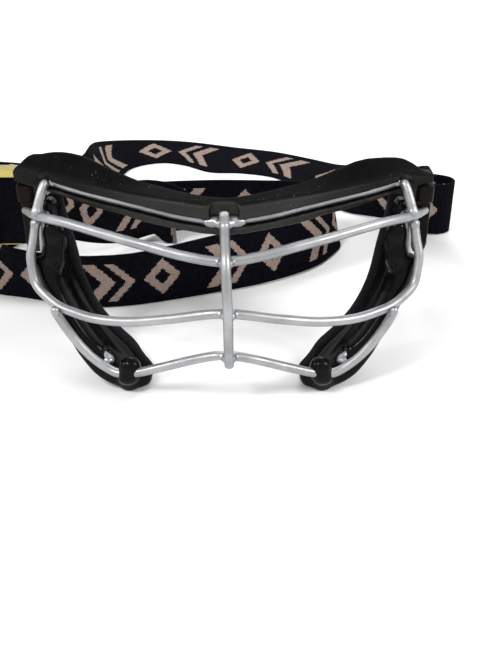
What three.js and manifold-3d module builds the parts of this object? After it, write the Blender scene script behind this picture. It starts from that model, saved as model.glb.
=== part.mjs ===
// Lacrosse goggles: a welded wire cage, a moulded brow with its cushion, two
// side pads with cheek cushions, temple brackets, an elastic strap and its slider.
// Millimetres, +X to the viewer's right, +Y towards the wearer, +Z up. The shape is
// drawn standing on its pads on the bench at z = 0, and the last lines move it so that
// the origin is the middle of the forehead face.

import * as THREE from "three";
import { mergeVertices } from "three/addons/utils/BufferGeometryUtils.js";
import Module from "manifold-3d";

const wasm = await Module();
wasm.setup();

// Driving dimensions
const WIRE_RADIUS = 2.0;
const GAP = 0.3;
const GROOVE_RADIUS = WIRE_RADIUS + GAP;
const WIRE_SIDES = 8;
const LAP = 2 * WIRE_RADIUS + GAP;
const FOREHEAD_Y = 13.0;
const FOREHEAD_Z = 80.0;
const CUSHION_GAP = 0.4;
const BROW_WALL = 5.0;
const BROW_FACE = 3.4;
const MOUTH_BELOW = 1.7;
const MOUTH_ABOVE = 1.3;
const FLANGE = 3.2;
const PAD_WALL = 3.6;
const GRIP_RADIUS = 3.9;
const GRIP_START = 0.22;
const GRIP_RISE = 0.04;
const CUSHION_DEPTH = 6.2;
const STRAP_WIDTH = 31.0;
const STRAP_THICKNESS = 1.4;
const BAR_X = 86.0;
const BAR_Y = 50.0;
const BAR_HALF = 1.8;
const SLOT_LOW = 47.0;
const SLOT_HIGH = 79.0;
const SLIDER_START = -89.4;
const SLIDER_LENGTH = 22.0;

const goggles = new THREE.Group();
goggles.name = "lacrosse_goggles";

function vector(point) {
  return new THREE.Vector3(point[0], point[1], point[2]);
}

function curveThrough(points) {
  return new THREE.CatmullRomCurve3(points.map(vector), false, "centripetal");
}

// A symmetric curve from its right half, listed from the middle outwards.
function mirroredCurve(half) {
  const left = half.slice(1).reverse().map((p) => [-p[0], p[1], p[2]]);
  return curveThrough([...left, ...half]);
}

function roundBar(curve, radius, steps, sides = WIRE_SIDES) {
  const section = new THREE.Shape();
  for (let i = 0; i < sides; i += 1) {
    const angle = (i / sides) * Math.PI * 2;
    const x = radius * Math.cos(angle);
    const y = radius * Math.sin(angle);
    if (i === 0) section.moveTo(x, y);
    else section.lineTo(x, y);
  }
  section.closePath();
  return new THREE.ExtrudeGeometry(section, { steps, bevelEnabled: false, extrudePath: curve });
}

// A closed solid through rings with the same number of points, its ends filled by fans.
function loft(rings) {
  const count = rings[0].length;
  const positions = [];
  const index = [];
  for (const ring of rings) {
    for (const p of ring) positions.push(p.x, p.y, p.z);
  }
  for (let i = 0; i < rings.length - 1; i += 1) {
    for (let j = 0; j < count; j += 1) {
      const a = i * count + j;
      const b = i * count + ((j + 1) % count);
      index.push(a, b, b + count, a, b + count, a + count);
    }
  }
  const last = (rings.length - 1) * count;
  for (const [ring, start, flip] of [[rings[0], 0, true], [rings[rings.length - 1], last, false]]) {
    const middle = new THREE.Vector3();
    for (const p of ring) middle.addScaledVector(p, 1 / count);
    const hub = positions.length / 3;
    positions.push(middle.x, middle.y, middle.z);
    for (let j = 0; j < count; j += 1) {
      const a = start + j;
      const b = start + ((j + 1) % count);
      if (flip) index.push(hub, b, a);
      else index.push(hub, a, b);
    }
  }
  const geometry = new THREE.BufferGeometry();
  geometry.setAttribute("position", new THREE.Float32BufferAttribute(positions, 3));
  geometry.setIndex(index);
  return outward(geometry);
}

function signedVolume(geometry) {
  const p = geometry.getAttribute("position");
  const index = geometry.getIndex();
  const a = new THREE.Vector3();
  const b = new THREE.Vector3();
  const c = new THREE.Vector3();
  let sum = 0;
  for (let i = 0; i < index.count; i += 3) {
    a.fromBufferAttribute(p, index.getX(i));
    b.fromBufferAttribute(p, index.getX(i + 1));
    c.fromBufferAttribute(p, index.getX(i + 2));
    sum += a.dot(b.cross(c)) / 6;
  }
  return sum;
}

function outward(geometry) {
  if (signedVolume(geometry) >= 0) return geometry;
  const index = geometry.getIndex();
  for (let i = 0; i < index.count; i += 3) {
    const b = index.getX(i + 1);
    index.setX(i + 1, index.getX(i + 2));
    index.setX(i + 2, b);
  }
  return geometry;
}

function toSolid(geometry) {
  const bare = geometry.clone();
  bare.deleteAttribute("normal");
  bare.deleteAttribute("uv");
  const merged = outward(mergeVertices(bare, 1e-4));
  return new wasm.Manifold(new wasm.Mesh({
    numProp: 3,
    vertProperties: new Float32Array(merged.getAttribute("position").array),
    triVerts: new Uint32Array(merged.getIndex().array),
  }));
}

function fromSolid(solid) {
  const mesh = solid.getMesh();
  const geometry = new THREE.BufferGeometry();
  geometry.setAttribute("position", new THREE.BufferAttribute(mesh.vertProperties, 3));
  geometry.setIndex(new THREE.BufferAttribute(mesh.triVerts, 1));
  return geometry;
}

function joined(solids) {
  return solids.reduce((sum, solid) => sum.add(solid));
}

function cutBy(solid, tools) {
  return tools.reduce((left, tool) => left.subtract(tool), solid);
}

function bead(centre, radii, sides = 8) {
  const ball = new THREE.SphereGeometry(1, sides, 4);
  ball.scale(radii[0], radii[1], radii[2]);
  ball.translate(centre[0], centre[1], centre[2]);
  return toSolid(ball);
}

function block(low, high) {
  const box = new THREE.BoxGeometry(high[0] - low[0], high[1] - low[1], high[2] - low[2]);
  box.translate((low[0] + high[0]) / 2, (low[1] + high[1]) / 2, (low[2] + high[2]) / 2);
  return toSolid(box);
}

// Value at x of a line of [x, value] stations.
function along(stations, x) {
  const reach = Math.abs(x);
  for (let i = 1; i < stations.length; i += 1) {
    const [x0, v0] = stations[i - 1];
    const [x1, v1] = stations[i];
    if (reach <= x1) return v0 + ((v1 - v0) * (reach - x0)) / (x1 - x0);
  }
  return stations[stations.length - 1][1];
}

const STEEL = { color: 0xb9bbbf, metalness: 0.85, roughness: 0.38 };
const MOULDED = { color: 0x17171a, metalness: 0.0, roughness: 0.35 };
const RUBBER = { color: 0x0f0f12, metalness: 0.0, roughness: 0.3 };
const FOAM = { color: 0x1b1b1d, metalness: 0.0, roughness: 0.85 };
const WEBBING = { color: 0x131317, metalness: 0.0, roughness: 0.9 };
const BRASS = { color: 0xc9a64a, metalness: 0.9, roughness: 0.25 };

function addPart(name, geometry, finish) {
  const mesh = new THREE.Mesh(geometry, new THREE.MeshStandardMaterial(finish));
  mesh.name = name;
  goggles.add(mesh);
}

// A box with its upright edges rounded.
function roundedBlock(low, high, radius) {
  const quarter = Math.PI / 2;
  const shape = new THREE.Shape();
  shape.absarc(high[0] - radius, low[1] + radius, radius, -quarter, 0, false);
  shape.absarc(high[0] - radius, high[1] - radius, radius, 0, quarter, false);
  shape.absarc(low[0] + radius, high[1] - radius, radius, quarter, 2 * quarter, false);
  shape.absarc(low[0] + radius, low[1] + radius, radius, 2 * quarter, 3 * quarter, false);
  const depth = high[2] - low[2];
  const box = new THREE.ExtrudeGeometry(shape, { depth, bevelEnabled: false, curveSegments: 2 });
  box.translate(0, 0, low[2]);
  return toSolid(box);
}

function mirroredSolid(solid) {
  return solid.mirror([1, 0, 0]);
}

function addPair(stem, rightSolid, finish) {
  addPart(`${stem}_right`, fromSolid(rightSolid), finish);
  addPart(`${stem}_left`, fromSolid(mirroredSolid(rightSolid)), finish);
}

// The wire cage

const browHalf = [
  [0, 0, 79], [16, 3, 79.8], [30, 7.5, 81.5], [39, 12, 81.9], [51, 18.5, 82.2],
  [57, 22, 82.3], [71, 30.5, 83],
];
const eyeHalf = [
  [0, -14, 68.6], [15, -12.3, 70.2], [28.5, -8.5, 72.3], [42, -2, 73.1], [52, 3.5, 73.6],
  [63.5, 11, 73.5], [70, 16.2, 72.6], [76, 22, 71.2], [81, 28, 70.2], [84.2, 31.7, 69.8],
];
const lowerHalf = [
  [0, -20, 49.5], [21.4, -16.8, 45.2], [38, -11.5, 40.9], [52.5, -5, 38.6], [62, 0, 38.8],
  [69, 4.5, 39.5], [74.5, 8.3, 42.1], [78.5, 12, 45.2], [80, 15, 50.5], [80.5, 17.5, 56],
  [79.5, 20, 60.8], [78.4, 23.4, 67.4],
];
const bottomHalf = [
  [0, -12, 25.3], [4, -12, 25.1], [12, -10.8, 22.7], [22, -8.2, 18.3], [29.6, -6, 14.8],
  [35.6, -4, 12], [40.5, -2.6, 10.4], [45.4, -1.5, 9.8], [50, 0, 11.3], [56, 1.5, 15.6],
  [62, 3, 21.7], [66.8, 4, 29.2], [69.3, 4, 36.6],
];
const uprightRight = [[73, 28, 87], [74.4, 26, 82.2], [75.8, 24.2, 77.8], [77, 22.6, 73.6]];
const sideRight = [
  [74.6, 26.6, 70.2], [74.8, 26, 66], [75, 25, 60], [75.5, 24, 53.5], [76.5, 22, 50],
  [75, 20, 46.5], [72, 17, 38], [66.5, 12.5, 28.5], [58, 7.5, 18.5], [49.5, 5.2, 12.5],
];
const barLine = [
  [0.5, -LAP, 84.6], [0.6, -LAP, 79.6], [0.9, -11.4, 75], [1.2, -14 - LAP, 70.2],
  [1.6, -22.9, 61], [2, -20 - LAP, 50.8], [2, -22.3, 37], [2, -12.2 - LAP, 25.6],
  [2, -12 - LAP, 22.6],
];

const browCurve = mirroredCurve(browHalf);
const eyeCurve = mirroredCurve(eyeHalf);
const lowerCurve = mirroredCurve(lowerHalf);
const bottomCurve = mirroredCurve(bottomHalf);
const barCurve = curveThrough(barLine);
const uprightCurve = curveThrough(uprightRight);
const sideCurve = curveThrough(sideRight);

const SIDE_WELD = [50.1, 4.0, 12.1];

function clearance(curve, steps) {
  return toSolid(roundBar(curve, GROOVE_RADIUS, steps, 10));
}

const browClear = clearance(browCurve, 34);
const eyeClear = clearance(eyeCurve, 40);
const lowerClear = clearance(lowerCurve, 50);
const bottomClear = clearance(bottomCurve, 48);
const uprightClear = clearance(uprightCurve, 4);

// Welds on the brow wire: one at the centre bar, and one at each upright.
const browTip = browHalf[browHalf.length - 1];
const BROW_WELDS = [
  { centre: [0.6, browHalf[0][1] - 2.1, browHalf[0][2]], radii: [4.2, 2.5, 2.15] },
  { centre: [browTip[0] + 0.9, browTip[1] - 1, browTip[2]], radii: [2.2, 2.2, 2.0] },
  { centre: [-browTip[0] - 0.9, browTip[1] - 1, browTip[2]], radii: [2.2, 2.2, 2.0] },
];

function weldSpace({ centre, radii }) {
  return bead(centre, radii.map((radius) => radius + GAP + 0.1));
}

// Each wire carries the weld that joins it to the one it meets.
function buildCage() {
  const barClear = clearance(barCurve, 24);
  const wires = [
    [eyeCurve, 40, eyeHalf[0], 1.2],
    [lowerCurve, 50, lowerHalf[0], 2],
    [bottomCurve, 48, bottomHalf[0], 2],
  ].map(([curve, steps, [, y, z], barX]) => {
    const wire = toSolid(roundBar(curve, WIRE_RADIUS, steps));
    return cutBy(wire.add(bead([barX, y - 2.1, z], [3.1, 2.5, 2.15])), [barClear]);
  });
  const brow = joined([
    toSolid(roundBar(browCurve, WIRE_RADIUS, 34)),
    ...BROW_WELDS.map(({ centre, radii }) => bead(centre, radii)),
  ]);
  addPart("brow_wire", fromSolid(cutBy(brow, [
    barClear, uprightClear, mirroredSolid(uprightClear),
  ])), STEEL);
  const lowerTop = lowerHalf[lowerHalf.length - 1];
  const crowns = [1, -1].map((side) => (
    bead([side * lowerTop[0], lowerTop[1], lowerTop[2]], [2.3, 2.3, 2.0])));
  wires[1] = cutBy(joined([wires[1], ...crowns]), [eyeClear]);
  const strutTop = bottomHalf[bottomHalf.length - 1];
  const strutWelds = [1, -1].map((side) => (
    bead([side * strutTop[0], strutTop[1] + 0.3, strutTop[2]], [2.4, 2.4, 2.0])));
  wires[2] = cutBy(joined([wires[2], ...strutWelds]), [lowerClear]);
  ["eye_wire", "lower_wire", "bottom_wire"].forEach((name, i) => {
    addPart(name, fromSolid(wires[i]), STEEL);
  });
  addPart("centre_bar", fromSolid(toSolid(roundBar(barCurve, WIRE_RADIUS, 22))), STEEL);

  const foot = uprightRight[uprightRight.length - 1];
  const upright = toSolid(roundBar(uprightCurve, WIRE_RADIUS, 4))
    .add(bead([foot[0], foot[1], foot[2] - 0.2], [2.4, 2.4, 1.9]));
  addPair("side_upright", cutBy(upright, [eyeClear]), STEEL);

  const side = toSolid(roundBar(sideCurve, WIRE_RADIUS, 24))
    .add(bead(SIDE_WELD, [3.0, 2.6, 2.2]))
    .add(bead([sideRight[0][0] + 0.4, sideRight[0][1] - 0.8, 69.4], [2.6, 2.4, 2.2]));
  addPair("side_wire", cutBy(side, [eyeClear, lowerClear, bottomClear]), STEEL);
}

// The moulded brow

// The line of the brow, carried on past the ends of its wire.
const browLine = mirroredCurve([...browHalf, [77.5, 34.4, 83], [82, 37.3, 82.8], [85.8, 39.8, 82.7]]);
const LIP_LOW = [
  [0, 74], [3, 74.1], [9, 74.3], [21, 75.4], [29, 75.9], [38, 77.3], [50, 77.5], [68, 79.2],
  [80, 79.9], [90, 80.2],
];
const BROW_TOP = [
  [0, 87.3], [9, 87.1], [17.4, 87.8], [28, 88.2], [38, 89], [44, 90.4], [49.5, 91.8], [56, 93.2],
  [61, 93.4], [67, 93], [73, 92.1], [80, 89.7], [87, 86.2], [90, 85.4],
];
const BROW_TOP_SETBACK = [
  [0, 3], [9, 4.6], [17.4, 5], [28, 7.2], [38, 7.2], [50, 6.8], [61, 6.6], [67, 5.4], [73, 3.8],
  [80, 2], [90, 0.4],
];
const CREASE_Z = 87.5;
const RECESS = { x: 0.5, y: -3.1, z: 83.4, floorRadius: 5.4, mouthRadius: 6.4, depth: 6.2 };

// A frame at a station of the brow line: the point, and the level way to the face.
function browStation(t) {
  const point = browLine.getPoint(t);
  const tangent = browLine.getTangent(t);
  const inward = new THREE.Vector3(-tangent.y, tangent.x, 0).normalize();
  return { point, inward };
}

function browPoint(station, inward, z) {
  return new THREE.Vector3(
    station.point.x + station.inward.x * inward,
    station.point.y + station.inward.y * inward,
    z,
  );
}

function browParameter(x) {
  let low = 0;
  let high = 1;
  for (let i = 0; i < 30; i += 1) {
    const mid = (low + high) / 2;
    if (browLine.getPoint(mid).x < x) low = mid;
    else high = mid;
  }
  return (low + high) / 2;
}

function flangeUnderside(x) {
  return Math.min(along(BROW_TOP, x) - FLANGE, 88.4);
}

function buildBrowMoulding() {
  const steps = 44;
  const rings = [];
  for (let i = 0; i <= steps; i += 1) {
    const station = browStation(i / steps);
    const x = Math.abs(station.point.x);
    const wire = station.point.z;
    const lip = along(LIP_LOW, x);
    const top = along(BROW_TOP, x);
    const crease = Math.min(CREASE_Z, top - 0.7);
    const setback = along(BROW_TOP_SETBACK, x);
    const wall = 1.3 + (BROW_WALL - 1.3) * Math.min(1, Math.max(0, (88 - x) / 14));
    const rear = Math.max(setback + 0.9, wall + 0.4);
    const under = flangeUnderside(x);
    const groove = Math.min(1, Math.max(0, (76 - x) / 3));
    const bed = -BROW_FACE + 0.2 + groove * 1.4;
    const back = -BROW_FACE + 0.25 + groove * 2.2;
    const low = Math.max(wire - MOUTH_BELOW, lip + 1.5);
    const high = Math.min(wire + MOUTH_ABOVE, crease - 1.4);
    const middle = (low + high) / 2;
    // A fine channel runs along the lip, between its foot and the wire.
    const foot = lip + 0.8;
    const span = low - 0.25 - foot;
    const profile = [
      [-BROW_FACE + 1.2, lip], [-BROW_FACE + 0.1, foot], [-BROW_FACE, foot + span * 0.35],
      [-BROW_FACE + Math.min(0.9, span * 0.45), foot + span * 0.52],
      [-BROW_FACE, foot + span * 0.72], [-BROW_FACE, low - 0.25],
      [-BROW_FACE + 0.3, low], [bed, low + 0.02], [back, middle - 0.4], [back, middle + 0.4],
      [bed, high - 0.02], [-BROW_FACE + 0.2, high], [-BROW_FACE, high + 0.4],
      [-BROW_FACE + 0.3, crease - 0.9], [-1.7, crease], [setback - 1.4, top - 0.1],
      [setback, top], [rear, top - 0.9], [rear, under], [wall, under - 0.1],
      [wall, lip + 0.8], [wall - 1, lip],
    ];
    rings.push(profile.map(([inward, z]) => browPoint(station, inward, z)));
  }
  // The round recess that the head of the centre bar stands in.
  const recess = new THREE.CylinderGeometry(RECESS.floorRadius, RECESS.mouthRadius, RECESS.depth, 24);
  recess.translate(RECESS.x, RECESS.y, RECESS.z);
  const bracketNotch = block([BAR_X - 2.9, BAR_Y - 9.4, 79], [95, 60, 92]);
  addPart("brow_moulding", fromSolid(cutBy(toSolid(loft(rings)), [
    toSolid(recess), browClear, uprightClear, mirroredSolid(uprightClear),
    ...BROW_WELDS.map(weldSpace), bracketNotch, mirroredSolid(bracketNotch),
  ])), MOULDED);
}

// The cushion behind the brow: a crowned strip with vent channels between its cells.
function buildBrowCushion() {
  const reach = 71;
  const channels = [24, 47];
  const channelHalf = 1.5;
  const xs = [0, 3.5, 7, 10, 14, 19, 30, 35.5, 41, 52, 57, 62, 66, 69, reach];
  for (const centre of channels) {
    xs.push(centre - channelHalf - 1, centre - channelHalf, centre + channelHalf, centre + channelHalf + 1);
  }
  xs.sort((a, b) => a - b);
  const stations = [...xs.slice(1).reverse().map((x) => -x), ...xs];
  const rings = stations.map((x) => {
    const station = browStation(browParameter(x));
    const lip = along(LIP_LOW, x) + 0.4;
    const under = flangeUnderside(x) - CUSHION_GAP - 0.1;
    const inChannel = channels.some((c) => Math.abs(Math.abs(x) - c) <= channelHalf + 0.01);
    const edge = Math.min(1, (reach + 1.2 - Math.abs(x)) / 7);
    const depth = inChannel ? 3.2 : 4.2 + 3.6 * Math.sqrt(edge);
    const front = BROW_WALL + CUSHION_GAP;
    const back = front + depth;
    const soft = Math.min(1.6, depth * 0.4);
    const ring = [
      [front, lip + 0.6], [front, under - 0.6], [front + 0.7, under], [back - soft, under],
      [back - 0.35, under - soft * 0.6], [back, under - soft - 0.8], [back, lip + soft + 0.8],
      [back - 0.35, lip + soft * 0.6], [back - soft, lip], [front + 0.7, lip],
    ].map(([inward, z]) => browPoint(station, inward, z));
    // The middle of the rear is flattened: it is the face that the forehead meets.
    if (Math.abs(x) <= 14) {
      const flat = FOREHEAD_Y + Math.max(0, Math.abs(x) - 7) * 0.3;
      [0.35, 0, 0, 0.35].forEach((inset, i) => {
        ring[4 + i].y = flat - inset;
      });
    }
    return ring;
  });
  addPart("brow_cushion", loft(rings), FOAM);
}

// Temple brackets: a block under the brow's end, and a loop that holds the strap

function buildBrackets() {
  const low = SLOT_LOW - 3.2;
  const high = SLOT_HIGH + 2.6;
  const front = BAR_Y - 9;
  const inner = BAR_X - 2.5;
  const outer = BAR_X + 2.5;
  const templeBlock = roundedBlock([80.4, 33.8, 66.6], [87.8, 44, 79.4], 1.6);
  addPair("temple_bracket", joined([
    templeBlock,
    roundedBlock([inner, front, low], [outer, front + 3.6, high], 0.9),
    roundedBlock([BAR_X - BAR_HALF, BAR_Y - BAR_HALF, low], [BAR_X + BAR_HALF, BAR_Y + BAR_HALF, high], 0.8),
    roundedBlock([inner, front + 0.5, low], [outer, BAR_Y + 2.2, SLOT_LOW], 0.9),
    roundedBlock([inner, front + 0.5, SLOT_HIGH], [outer, BAR_Y + 2.2, high], 0.9),
  ]), MOULDED);
}

// Side pads: a flexible skirt from the side wire back to the cheek, with clips

const padFront = [
  [74.2, 28.6, 75], [74.4, 29, 66], [74.4, 28.8, 58.5], [74.8, 26.6, 54], [75.8, 21.8, 49.4],
  [74.6, 19.6, 45], [71.2, 16.4, 36.4], [66.3, 12.5, 28.3], [60.6, 8.8, 20.6], [54.6, 5.8, 14],
  [49.6, 4.6, 9], [44.6, 3.6, 5.4], [40, 3.6, 3.6], [35.6, 5, 2.6], [32.6, 7.6, 2.6],
];
const padRear = [
  [72, 41.2, 75], [70.6, 41, 66], [69, 41, 58.5], [68, 41, 53.5], [67.1, 40.5, 48.6],
  [66.5, 40, 44], [65, 38.6, 36.6], [62, 36.6, 28.4], [57.7, 34.2, 21], [52.4, 31.4, 15.6],
  [46.6, 28, 11.8], [41.4, 24.2, 9.2], [37.4, 18.6, 6.4], [33.8, 14.4, 4.4], [32.2, 12, 3.4],
];
// The foot: a lip from the skirt down to the outline that stands on the bench.
const footTop = [
  [66.5, 11.5, 28], [63.5, 9.5, 23.6], [60, 7.6, 19.6], [55, 5.8, 15], [49.8, 5.4, 11], [44.6, 4.6, 7.6],
  [40, 5.4, 5.4], [36, 7, 4],
];
const footLine = [
  [66.8, 9, 24.6], [63.4, 6.4, 18], [59.2, 4, 12.6], [55.4, 2.6, 8.4], [50, 1.6, 4.6], [44, 1.8, 2],
  [39.4, 3, 1.4], [35, 5.2, 1.6],
];
const padFrontCurve = curveThrough(padFront);
const padRearCurve = curveThrough(padRear);

// The cushion gets shallower where the pad narrows to its foot.
function cushionDepth(width) {
  return Math.min(CUSHION_DEPTH, width * 0.45);
}

// Frames along the pad: across points back to the cheek, out away from the eye.
function padStation(t, frontCurve = padFrontCurve, rearCurve = padRearCurve) {
  const front = frontCurve.getPoint(t);
  const rear = rearCurve.getPoint(t);
  const across = rear.clone().sub(front);
  const width = across.length();
  across.normalize();
  const before = Math.max(0, t - 0.02);
  const after = Math.min(1, t + 0.02);
  const ahead = frontCurve.getPoint(after).add(rearCurve.getPoint(after))
    .sub(frontCurve.getPoint(before)).sub(rearCurve.getPoint(before)).normalize();
  const out = new THREE.Vector3().crossVectors(across, ahead).normalize();
  return { front, across, out, width };
}

function padRings(steps, profileAt, frontCurve, rearCurve) {
  const rings = [];
  for (let i = 0; i <= steps; i += 1) {
    const station = padStation(i / steps, frontCurve, rearCurve);
    rings.push(profileAt(station.width, i / steps).map(([u, v]) => station.front.clone()
      .addScaledVector(station.across, u)
      .addScaledVector(station.out, v)));
  }
  return rings;
}

function buildSidePads() {
  const steps = 26;
  const half = PAD_WALL / 2;
  const floor = block([20, -20, -14], [95, 60, 0]);
  // Below the clip the rubber closes round the side wire and tapers towards the cheek.
  const skirt = toSolid(loft(padRings(steps, (width, t) => {
    const end = width - cushionDepth(width);
    const grip = THREE.MathUtils.smoothstep(t, GRIP_START, GRIP_START + GRIP_RISE);
    const bulge = half + grip * (GRIP_RADIUS - half);
    const shoulder = half + grip * (GRIP_RADIUS - half) * 0.72;
    const nose = -grip * (GRIP_RADIUS - 0.2);
    const side = [
      [nose, bulge * 0.42], [nose * 0.62, bulge * 0.84], [0.4, bulge], [end * 0.28, shoulder],
      [end * 0.62, half], [end - 0.8, half], [end, half - 0.6],
    ];
    return [...side.map(([u, v]) => [u, -v]), ...side.reverse()];
  })));
  const foot = toSolid(loft(padRings(12, (width) => [
    [-1.2, -1.2], [0, -1.7], [width, -1.7], [width + 1.2, -0.9], [width + 1.2, 0.9], [width, 1.7],
    [0, 1.7], [-1.2, 1.2],
  ], curveThrough(footTop), curveThrough(footLine))));
  const shell = joined([
    skirt,
    foot,
    bead([41.2, -1.4, 9.0], [5.4, 4.6, 4.6]),
    bead([41.5, 2.0, 4.0], [4.8, 4.0, 5.8]),
    bead([39.5, 4.4, 3.2], [5, 3.8, 5.0]),
  ]);
  const cheek = toSolid(loft(padRings(steps, (width) => {
    const depth = cushionDepth(width);
    const start = width - depth + CUSHION_GAP;
    const end = width + 0.4;
    const soft = depth / CUSHION_DEPTH;
    return [
      [start, -2.1], [start + soft, -2.7], [(start + end) / 2, -3], [end - 1.3 * soft, -2.4],
      [end - 0.2, -1], [end - 0.2, 1], [end - 1.3 * soft, 2.4], [(start + end) / 2, 3],
      [start + soft, 2.7], [start, 2.1],
    ];
  })));
  addPair("side_pad", cutBy(shell, [
    clearance(sideCurve, 24), bottomClear, lowerClear, bead(SIDE_WELD, [3.5, 3.1, 2.7]), floor,
  ]), RUBBER);
  addPair("cheek_cushion", cutBy(cheek, [floor]), FOAM);
}

// The strap: one band on edge, from its sewn tail at the right bracket round to the
// left one. Each station is its lower edge and its lean in degrees.
const strapRoute = [
  [88.4, 75, 38.6], [87.4, 60, 46.1], [83.6, 54, 47.5], [82.7, 50, 47.5], [83.5, 47.5, 47.5],
  [86, 46.7, 47.5], [88.5, 47.5, 47.5], [89.3, 50, 47.5], [90, 60, 46], [91.4, 78, 37], [92.4, 98, 24],
  [94, 120, 11], [96, 139, 3], [99, 153, 0], [106, 160, 0], [114, 159.5, 0], [122, 159, 0],
  [127.5, 163, 0], [127, 170, 0], [120, 174.5, 0], [107, 177.5, 0], [90, 182.5, 0],
  [71, 190, 0, -25], [55, 210, 0, -60], [41, 232, 0, -76], [27, 249, 0, -78], [5, 257, 0, -78],
  [-16, 259, 0, -78], [-34, 272, 0, -78], [-48, 277, 0, -78], [-62, 273, 0, -76],
  [-74, 263, 0, -62], [-77, 247, 0, -38], [-80, 228, 0, -16], [-89, 204, 0, -2], [-102, 179, 0],
  [-115, 156, 0], [-127, 134, 0], [-135, 112, 0], [-131, 94, 0, -4], [-119, 86, 0, -8],
  [-104, 82, 0, -11], [-85, 76, 0, -13], [-66, 72, 0, -13], [-50, 73.5, 0, -10], [-30, 79, 0, -3],
  [-4, 88, 0, 8], [19, 97.5, 0, 18], [44, 114, 0, 22], [55, 128, 0, 16], [62, 144, 0, 8],
  [57, 157, 0, 3], [44, 163, 0], [20, 165, 0], [-20, 165, 0], [-43, 159, 1], [-60, 138, 5],
  [-72, 122, 12], [-84, 108, 21], [-98, 93, 33], [-113, 79, 41.5], [-127, 70, 46.5],
  [-140, 65, 47.5], [-144, 57, 47.5], [-140, 49.5, 47.5], [-132, 47, 47.5], [-118, 47, 47.5],
  [-104, 47, 47.5], [-90, 47, 47.5], [-86, 46.7, 47.5], [-83.5, 47.5, 47.5], [-82.7, 50, 47.5],
  [-83.5, 52.5, 47.5], [-86, 53.3, 47.5], [-88.4, 52.6, 47.5], [-89.8, 50.7, 47.5],
  [-92.4, 49.3, 47.5], [-98, 49.1, 47.5], [-112, 49.1, 47.5], [-126, 49.1, 47.5],
];

function strapFrames(spacing) {
  const curve = curveThrough(strapRoute);
  const knots = strapRoute.length - 1;
  const frames = [];
  let last = null;
  for (let i = 0; i <= knots * 24; i += 1) {
    const t = i / (knots * 24);
    const point = curve.getPoint(t);
    const tangent = curve.getTangent(t);
    const straight = last ? last.tangent.angleTo(tangent) < 0.22 : false;
    const near = last ? last.point.distanceTo(point) < spacing : false;
    if (straight && near && i < knots * 24) continue;
    const knot = Math.min(knots - 1, Math.floor(t * knots));
    const from = strapRoute[knot][3] || 0;
    const to = strapRoute[knot + 1][3] || 0;
    const lean = THREE.MathUtils.degToRad(from + (to - from) * (t * knots - knot));
    last = { point, tangent, lean };
    frames.push(last);
  }
  return frames;
}

function strapRing({ point, tangent, lean }) {
  const upright = new THREE.Vector3(0, 0, 1);
  const beside = new THREE.Vector3().crossVectors(upright, tangent).normalize();
  const width = upright.multiplyScalar(Math.cos(lean)).addScaledVector(beside, Math.sin(lean));
  width.addScaledVector(tangent, -width.dot(tangent)).normalize();
  const thick = new THREE.Vector3().crossVectors(width, tangent).normalize()
    .multiplyScalar(STRAP_THICKNESS / 2);
  const high = point.clone().addScaledVector(width, STRAP_WIDTH);
  const ring = [
    point.clone().sub(thick), point.clone().add(thick), high.clone().add(thick), high.clone().sub(thick),
  ];
  const sunk = Math.min(0, ...ring.map((p) => p.z));
  for (const p of ring) p.z -= sunk;
  return ring;
}

function buildStrap() {
  addPart("strap", loft(strapFrames(9).map(strapRing)), WEBBING);
}

// The slider: a top rail, two bars behind the strap, and one bar in front of it
function buildSlider() {
  const right = SLIDER_START;
  const left = SLIDER_START - SLIDER_LENGTH;
  const low = SLOT_LOW - 2.2;
  const high = SLOT_HIGH + 3.4;
  const face = BAR_Y - 4.8;
  const back = BAR_Y + 1.0;
  const rear = BAR_Y + 3.4;
  const middle = (left + right) / 2 - 4.4;
  addPart("strap_slider", fromSolid(joined([
    roundedBlock([left, face, SLOT_HIGH + 0.3], [right, back + 1, high], 1),
    roundedBlock([left + 0.3, back, low + 0.3], [left + 2.7, rear, high - 0.2], 0.8),
    roundedBlock([right - 4.8, back, low + 0.3], [right - 2.4, rear, high - 0.2], 0.8),
    roundedBlock([left + 0.8, back + 0.2, low], [right - 2.9, rear - 0.2, SLOT_LOW], 0.8),
    roundedBlock([middle, face - 1.6, low + 0.2], [middle + 3.2, face + 0.6, high - 0.4], 0.8),
    roundedBlock([middle + 0.3, face - 1.3, low + 0.4], [middle + 2.9, back + 1.2, SLOT_LOW - 0.3], 0.8),
  ])), BRASS);
}

buildCage();
buildBrowMoulding();
buildBrowCushion();
buildBrackets();
buildSidePads();
buildStrap();
buildSlider();

goggles.position.set(0, -FOREHEAD_Y, -FOREHEAD_Z);
goggles.updateMatrixWorld(true);

export default goggles;
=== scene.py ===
"""Lacrosse goggles: smooth welded wires, a moulded brow, rubber pads, soft cushions,
temple brackets, a woven strap and its slider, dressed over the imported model."""

import math

import bmesh
import bpy
from bpy.props import FloatProperty, FloatVectorProperty, PointerProperty
from mathutils import Matrix, Vector


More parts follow.
